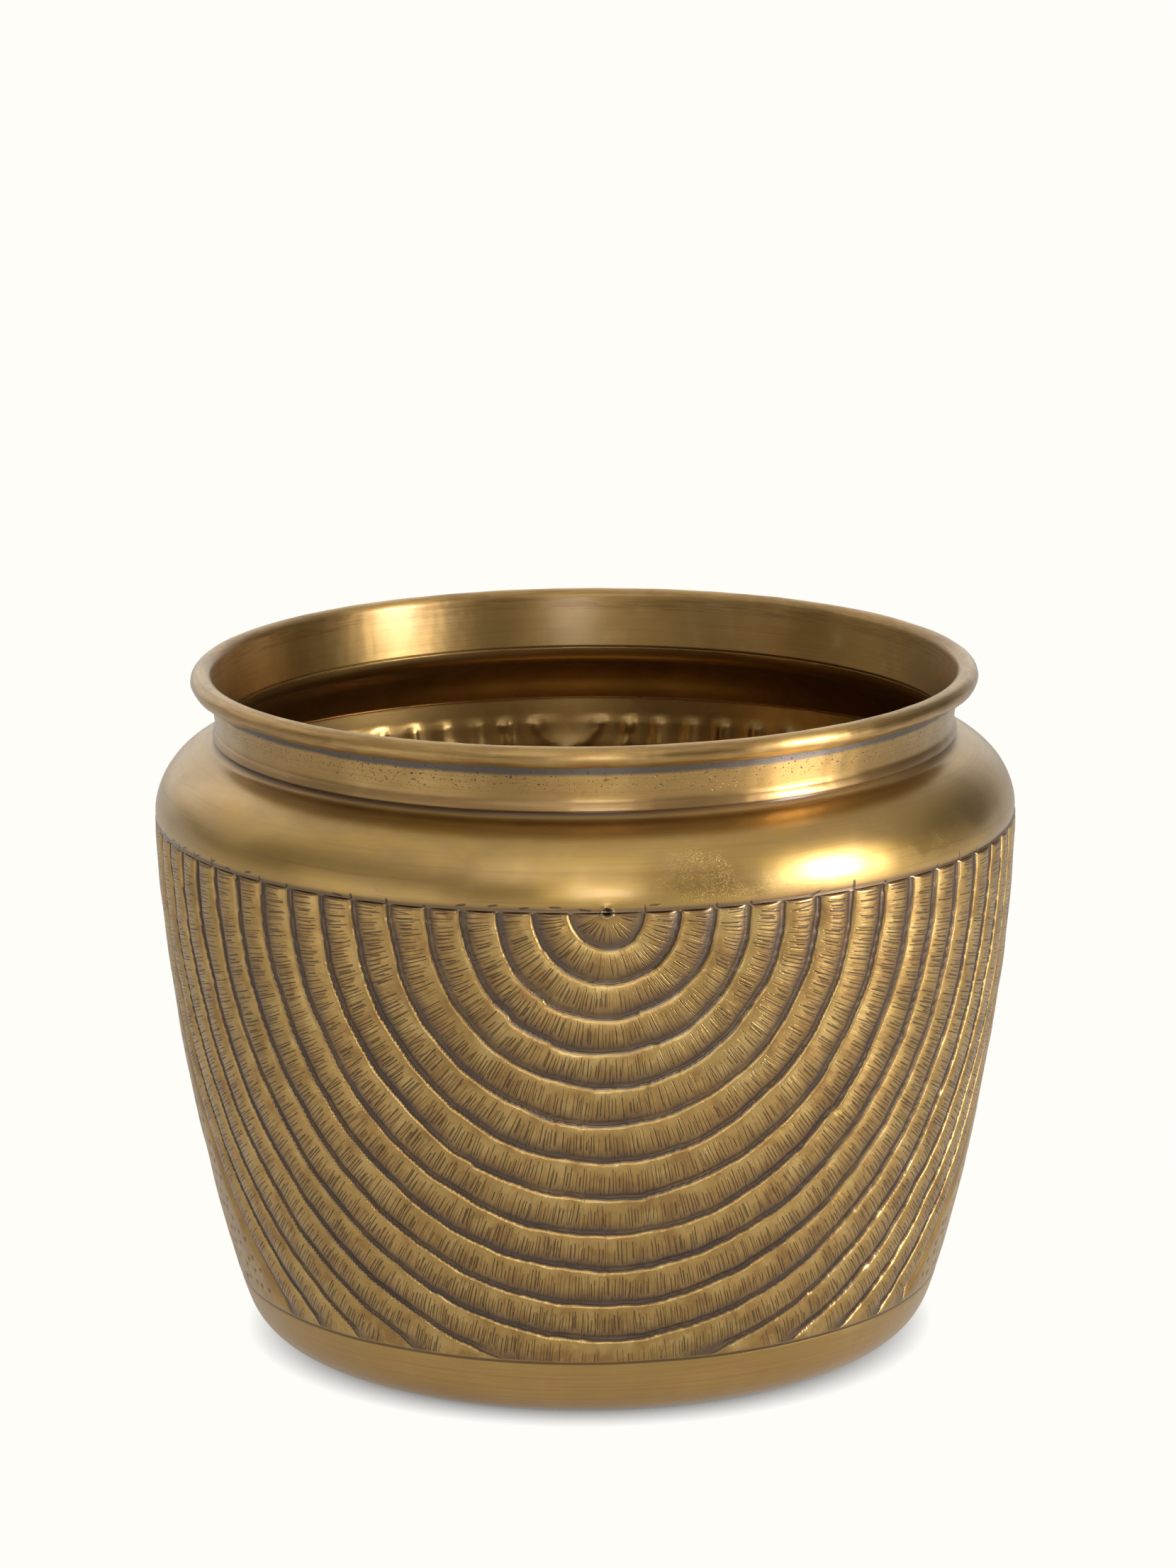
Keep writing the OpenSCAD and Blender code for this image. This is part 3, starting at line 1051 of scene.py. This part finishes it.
def collar_brass():
    """The collar and its rim: brushed round, pitted, with a blue-grey band under the roll, painted shade
    in the crease and a painted highlight along the top edge.
    """
    f = Finish("collar_brass", GOLD, anisotropic=0.85, lacquer=0.5)
    spot, x, y, z = f.place()
    outside = f.attribute("outside")
    clouds = tarnish(f, spot, 1.2)
    lines = brushing(f, x, y, z, 1.4)
    f.stain(RED_BROWN, f.rise(lines, 0.45, 0.72) * 0.6)
    above_seam, above_roll = z - COLLAR_Z / MM, z - ROLL_LOW_Z / MM
    neck = outside * f.fall(above_roll, 0.3, 1.5)
    pit_noise = f.noise(f.vector(x * 1.1, y * 1.1, z * 1.9), 1.0, 1.0, 0.4)
    pits = f.rise(pit_noise, 0.655, 0.71) * f.rise(above_seam, 4.0, 9.0) * neck
    f.stain(DEEP_PATINA, pits * 0.85)
    bead = f.fall(above_seam + (clouds - 0.5) * 1.5, 2.6, 5.0) * outside
    f.stain(BEAD_BROWN, bead * 0.6)
    # A blue-grey band on the neck under the roll
    under_roll = f.rise(above_roll + (clouds - 0.5) * 1.6, -3.6, -2.2) * neck
    f.stain(BLUE_GREY, under_roll * 0.9)
    # Painted highlight: a pale line along the top edge of the rim
    wear_and_rim_highlight = f.rise(z - TOP_Z / MM, -0.5, -0.15)
    f.stain(PALE_GOLD, wear_and_rim_highlight * 0.8)
    smears = f.noise(f.vector(x * 0.05, y * 0.05, z * 0.9), 1.0, 4.0, 0.7)
    on_roll = f.rise(above_roll, 0.0, 0.8)
    f.stain(RED_BROWN, f.rise(smears, 0.42, 0.64) * on_roll * 0.6)
    # Painted shade in the crease at the collar's foot
    crease_shade = f.fall(above_seam, 0.1, 0.9) * outside
    f.stain(SHADE_UMBER, crease_shade * 0.9)

    grain = f.noise(spot, 2.0, 3.0, 0.7)
    facets = f.noise(f.vector(x, y, z * 0.6), 0.16, 1.0, 0.4)
    f.bump(lines * 0.03 + grain * 0.01 + facets * 0.12 - pits * 0.10)
    rough = lines * 0.14 + clouds * 0.08 + 0.33 - outside * 0.10
    return f.finish(rough + under_roll * 0.15 + pits * 0.15 + bead * 0.06)


def inner_brass(name, edge_z, edge_colour):
    """The inside of the bowl or the shoulder: stained, and darker than the outside brass, which is painted
    shade. Above edge_z millimetres, where its edge shows, it takes edge_colour."""
    f = Finish(name, INSIDE_BROWN, lacquer=0.3)
    spot, x, y, z = f.place()
    clouds = f.noise(spot, 0.03, 4.0, 0.6, 0.5)
    f.stain(INSIDE_OLIVE, f.rise(clouds, 0.35, 0.7))
    stains = f.noise(spot, 0.12, 4.0, 0.7)
    f.stain(RED_BROWN, f.rise(stains, 0.55, 0.75) * 0.5)
    f.stain(edge_colour, f.rise(z + (clouds - 0.5) * 1.5, edge_z, edge_z + 1.0) * 0.9)
    lines = brushing(f, x, y, z, 0.7)
    grain = f.noise(spot, 1.8, 3.0, 0.7)
    f.bump(lines * 0.02 + grain * 0.015)
    return f.finish(clouds * 0.12 + grain * 0.08 + 0.22)


def drawn_steel():
    """The rim's wire: drawn steel with die lines and a little rust."""
    f = Finish("drawn_steel", STEEL, anisotropic=0.3)
    spot, x, y, z = f.place()
    lines = brushing(f, x, y, z, 2.0)
    rust = f.rise(f.noise(spot, 0.12, 4.0, 0.6), 0.58, 0.7)
    f.stain(RUST, rust * 0.7)
    f.bump(lines * 0.03 + rust * 0.03)
    return f.finish(lines * 0.2 + rust * 0.3 + 0.22)


def brazing():
    """Braze in the laps: a slightly coppery filler with flow ripples and flux stains."""
    f = Finish("brazing", BRAZE)
    spot = f.place()[0]
    flow = f.noise(spot, 0.35, 3.0, 0.6, 0.8)
    flux = f.rise(f.noise(spot, 0.2, 4.0, 0.6), 0.55, 0.7)
    f.stain(PALE_BRAZE, flow)
    f.stain(DEEP_PATINA, flux * 0.6)
    f.bump(flow * 0.15)
    return f.finish(flow * 0.2 + flux * 0.25 + 0.3)


braze = brazing()
for node, material in (("rim_wire", drawn_steel()), ("belly_braze", braze), ("neck_braze", braze)):
    for place in frame["nodes"][node].material_slots:
        place.material = material

bowl_inner = inner_brass("bowl_inside", LIP_Z / MM - 1.2, RED_BROWN)
shoulder_inner = inner_brass("shoulder_inside", COLLAR_Z / MM - 4.2, GOLD)
for piece, node, slot, materials in (
    (bowl, "bowl", "bowl_brass", (embossed_brass(), bowl_inner)),
    (shoulder, "shoulder", "shoulder_brass", (spun_brass(), shoulder_inner)),
    (collar, "neck_band", "collar_brass", (collar_brass(),)),
):
    for material in materials:
        piece.data.materials.append(material)
    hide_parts(node)
    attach(piece, "root")


# ---- Floor, light and camera ----
CREAM = (1.0, 0.982, 0.939, 1)
FLOOR_HALF = 14.0
FLOOR_DROP = 0.2 * MM
FLOOR_ALBEDO = 0.28        # what the pot sees: a floor that the lamps light, and some fill
FLOOR_FILL = 0.36
SHADOW_REACH = 9 * MM      # what the eye sees: an even floor with a soft contact shadow
SHADOW_WEIGHT = 0.4
# World brightness: ramps along an axis of the direction, each (axis, from, to, brightness there, and
# there). The walls behind the pot and the ceiling add up, and the right side is dimmer
WALLS_BEHIND = (1, 0.62, 0.92, 0.18, 0.85)
CEILING = (2, 0.3, 0.8, 0.0, 0.62)
DIM_RIGHT = (0, 0.2, 0.6, 1.0, 0.6)
# Lamps: azimuth in degrees, height, distance, width, height of the lamp itself, radiance
LAMPS = {
    "key_right": (62, 0.49, 1.2, 0.28, 0.44, 28.0),
    "key_low": (60, 0.17, 0.62, 0.3, 0.32, 1.8),
    "left_low": (-54, 0.16, 0.62, 0.42, 0.30, 0.55),
    "front_strip": (1, 0.39, 1.2, 0.30, 0.28, 6.5),
    "front_high": (-12, 1.25, 1.3, 1.1, 0.9, 0.75),
    "left_wash": (-124, 0.8, 1.2, 1.1, 0.8, 0.5),
}
HIGHEST_AIM = 0.25
# The camera: where it stands, how far it looks down and tilts, its lens in millimetres and its shift
CAMERA_AZIMUTH = math.radians(-2.6)
CAMERA_DISTANCE = 2.1001
CAMERA_HEIGHT = 0.6842
CAMERA_PITCH = 0.228
CAMERA_ROLL = math.radians(-0.45)
LENS, SENSOR = 139.54, 36
SHIFT = (0.00185, 0.0005)


def make_floor():
    """An evenly lit cream floor with a soft contact shadow, less bright to the pot than to the eye."""
    mesh = bpy.data.meshes.new("floor")
    corners = [(-1, -1), (1, -1), (1, 1), (-1, 1)]
    spots = [(x * FLOOR_HALF, y * FLOOR_HALF, -FLOOR_DROP) for x, y in corners]
    mesh.from_pydata(spots, [], [(0, 1, 2, 3)])
    floor = bpy.data.objects.new("floor", mesh)
    bpy.context.scene.collection.objects.link(floor)
    material = bpy.data.materials.new("pale_floor")
    f = Nodes(material)
    f.tree.nodes.clear()
    near = f.add("AmbientOcclusion", {"Distance": SHADOW_REACH}, samples=32)
    shade = f.math("POWER", near.outputs["AO"], SHADOW_WEIGHT)
    seen = f.add("Emission", {"Color": CREAM, "Strength": shade})
    diffuse = f.add("BsdfDiffuse", {"Color": (*(c * FLOOR_ALBEDO for c in CREAM[:3]), 1)})
    fill = f.add("Emission", {"Color": CREAM, "Strength": FLOOR_FILL})
    lit = f.add("AddShader", {0: diffuse.outputs[0], 1: fill.outputs[0]})
    f.add("OutputMaterial", {0: f.seen_or_lit(seen, lit)})
    mesh.materials.append(material)


def make_world():
    """A pale studio: light walls behind the pot, a dimmer room in front of it, a lit ceiling."""
    world = bpy.data.worlds.new("studio")
    bpy.context.scene.world = world
    f = Nodes(world)
    f.tree.nodes.clear()
    way = f.parts(f.add("TexCoord").outputs["Generated"])
    behind, above, right = (f.rise(way[axis], *ramp) for axis, *ramp in (WALLS_BEHIND, CEILING, DIM_RIGHT))
    lit = f.add("Background", {"Color": CREAM, "Strength": (behind + above) * right})
    seen = f.add("Background", {"Color": CREAM})
    f.add("OutputWorld", {0: f.seen_or_lit(seen, lit)})


def softbox(name, azimuth, middle, distance, width, height, radiance):
    """A rectangular lamp at an azimuth, facing the pot. It isn't seen itself."""
    lamp = bpy.data.lights.new(name, "AREA")
    lamp.shape = "RECTANGLE"
    lamp.size, lamp.size_y = width, height
    lamp.energy = radiance * math.pi * width * height
    made = bpy.data.objects.new(name, lamp)
    angle = math.radians(azimuth)
    made.location = (math.sin(angle) * distance, -math.cos(angle) * distance, middle)
    way = made.location - Vector((0, 0, min(middle, HIGHEST_AIM)))
    made.rotation_euler = way.to_track_quat("Z", "Y").to_euler()
    made.visible_camera = False
    bpy.context.scene.collection.objects.link(made)


def make_camera():
    """The photograph's viewpoint: 2.1 m away, a little above the pot, looking 13 degrees down."""
    data = bpy.data.cameras.new("camera")
    data.sensor_width, data.lens = SENSOR, LENS
    data.shift_x, data.shift_y = SHIFT
    data.clip_start, data.clip_end = 0.1, 60
    camera = bpy.data.objects.new("camera", data)
    bpy.context.scene.collection.objects.link(camera)
    across, back = math.sin(CAMERA_AZIMUTH), -math.cos(CAMERA_AZIMUTH)
    camera.location = (across * CAMERA_DISTANCE, back * CAMERA_DISTANCE, CAMERA_HEIGHT)
    turn = Matrix.Rotation(CAMERA_AZIMUTH, 4, "Z")
    tip = Matrix.Rotation(math.pi / 2 - CAMERA_PITCH, 4, "X")
    tilt = Matrix.Rotation(CAMERA_ROLL, 4, "Z")
    camera.rotation_euler = (turn @ tip @ tilt).to_euler()
    bpy.context.scene.camera = camera


make_floor()
make_world()
make_camera()
for lamp_name, lamp_facts in LAMPS.items():
    softbox(lamp_name, *lamp_facts)
bpy.context.scene.view_settings.view_transform = "Standard"
